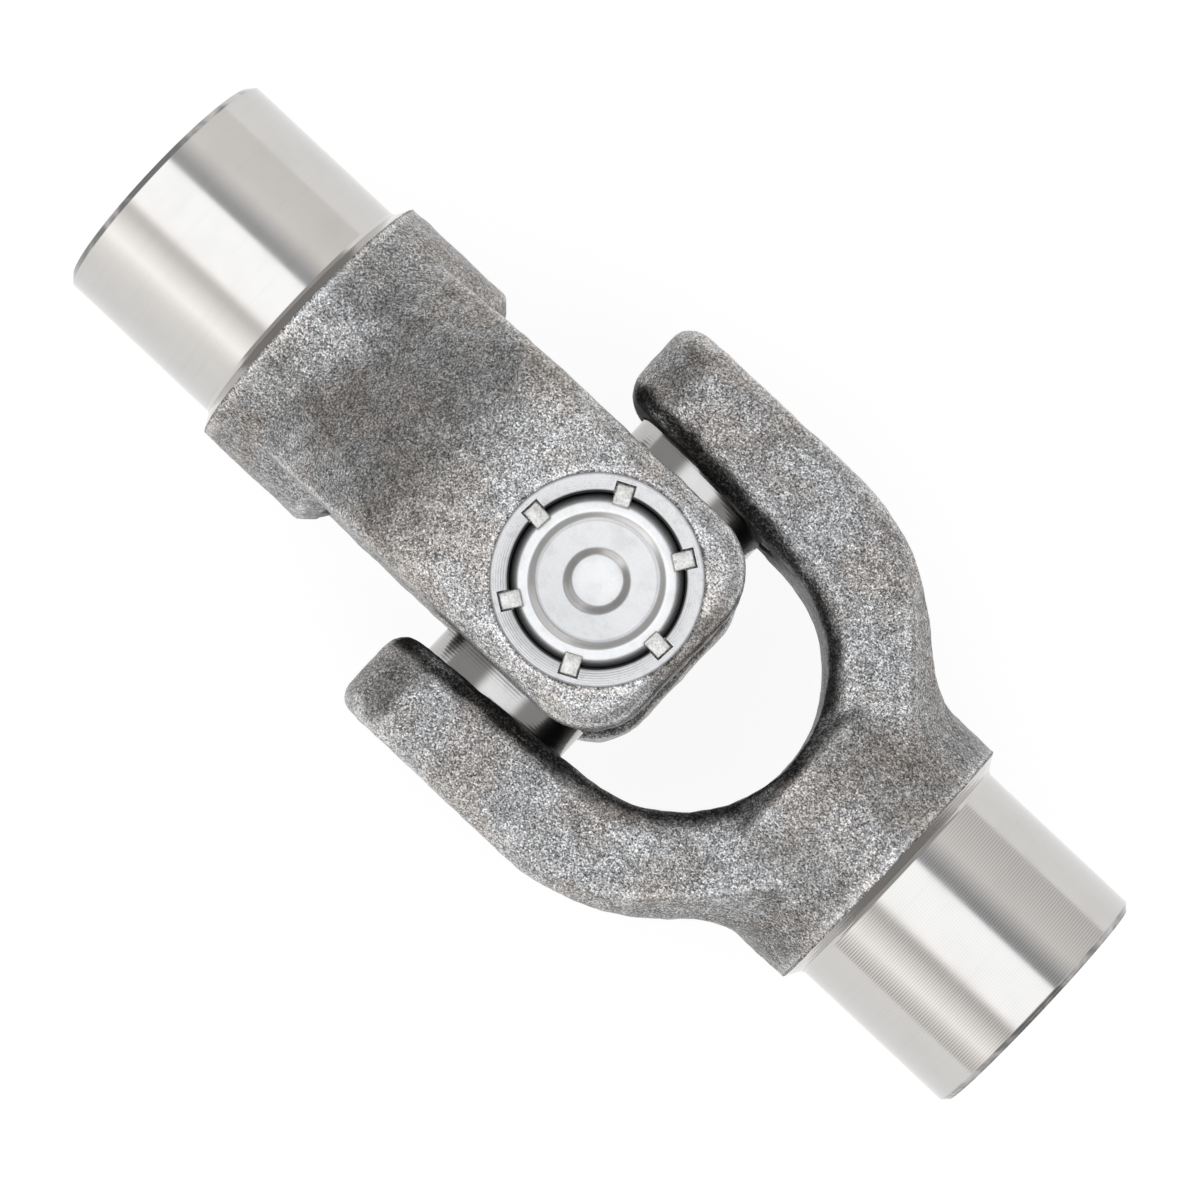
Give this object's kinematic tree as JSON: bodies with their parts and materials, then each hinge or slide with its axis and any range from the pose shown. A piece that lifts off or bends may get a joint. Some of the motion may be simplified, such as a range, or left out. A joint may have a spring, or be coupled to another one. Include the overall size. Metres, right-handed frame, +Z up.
{
  "type": "universal joint",
  "caption": "Steering-shaft universal joint: forged fork yokes on a cross in staked needle bearing cups, each with a turned stub to be welded into a tube.",
  "frame": {"origin": "centre of the cross, where the two shaft axes and the two bearing axes meet", "axes": "+X along the shafts towards yoke_b, +Y along yoke_b's bearing axis, +Z up along yoke_a's bearing axis"},
  "size_m": [0.1058, 0.0452, 0.0452],
  "materials": {
    "forged_steel": "shot-blasted forging skin, with bright turned stub, bores and spot faces",
    "cross_steel": "forged body with ground trunnions",
    "cup_steel": "ground outside, satin drawn end",
    "needle_steel": "polished",
    "seal_rubber": "matte",
    "pin_plastic": "matte"
  },
  "bodies": {
    "yoke_a": {"yoke_a": "forged_steel", "cup_a_top": "cup_steel", "needles_a_top": "needle_steel", "cup_a_bottom": "cup_steel", "needles_a_bottom": "needle_steel"},
    "cross": {"cross": "cross_steel", "seal_a_top": "seal_rubber", "thrust_pin_a_top": "pin_plastic", "seal_a_bottom": "seal_rubber", "thrust_pin_a_bottom": "pin_plastic", "seal_b_left": "seal_rubber", "thrust_pin_b_left": "pin_plastic", "seal_b_right": "seal_rubber", "thrust_pin_b_right": "pin_plastic"},
    "yoke_b": {"yoke_b": "forged_steel", "cup_b_left": "cup_steel", "needles_b_left": "needle_steel", "cup_b_right": "cup_steel", "needles_b_right": "needle_steel"}
  },
  "joints": [
    {"name": "cross_in_yoke_a", "type": "hinge", "parent": "yoke_a", "child": "cross", "pos_m": [0, 0, 0], "axis": [0, 0, 1], "range_deg": [-28, 28]},
    {"name": "yoke_b_on_cross", "type": "hinge", "parent": "cross", "child": "yoke_b", "pos_m": [0, 0, 0], "axis": [0, 1, 0], "range_deg": [-28, 28]}
  ]
}
